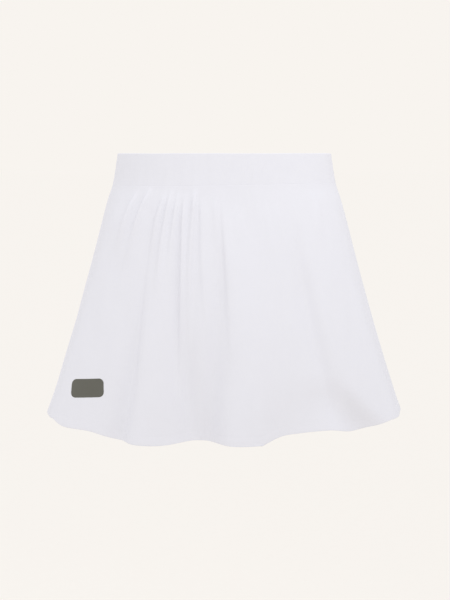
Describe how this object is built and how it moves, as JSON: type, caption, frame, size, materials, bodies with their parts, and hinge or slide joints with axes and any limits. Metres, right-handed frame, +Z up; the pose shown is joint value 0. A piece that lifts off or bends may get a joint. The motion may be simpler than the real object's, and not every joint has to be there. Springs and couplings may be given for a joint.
{
  "type": "tennis skirt",
  "caption": "White flared tennis skirt as worn and hollow: smooth elasticated waistband over a gathered front and back panel, open at waist and hem.",
  "frame": {"origin": "centre of the waistband's ring, halfway down it, where the wearer's waist holds the skirt", "axes": "+Z up out of the waist, front faces -Y, +X towards the right as seen from the front"},
  "size_m": [0.4516, 0.3498, 0.3469],
  "materials": {
    "waistband_jersey": "smooth fine polyester jersey over elastic, matt with a faint sheen",
    "skirt_cloth": "light plain-woven polyester, matt, soft gathers",
    "transfer_film": "thin heat-transfer film, satin dark grey"
  },
  "bodies": {
    "root": {"waistband_front": "waistband_jersey", "waistband_back": "waistband_jersey", "skirt_front": "skirt_cloth", "skirt_back": "skirt_cloth", "transfer_mark": "transfer_film"}
  },
  "joints": []
}
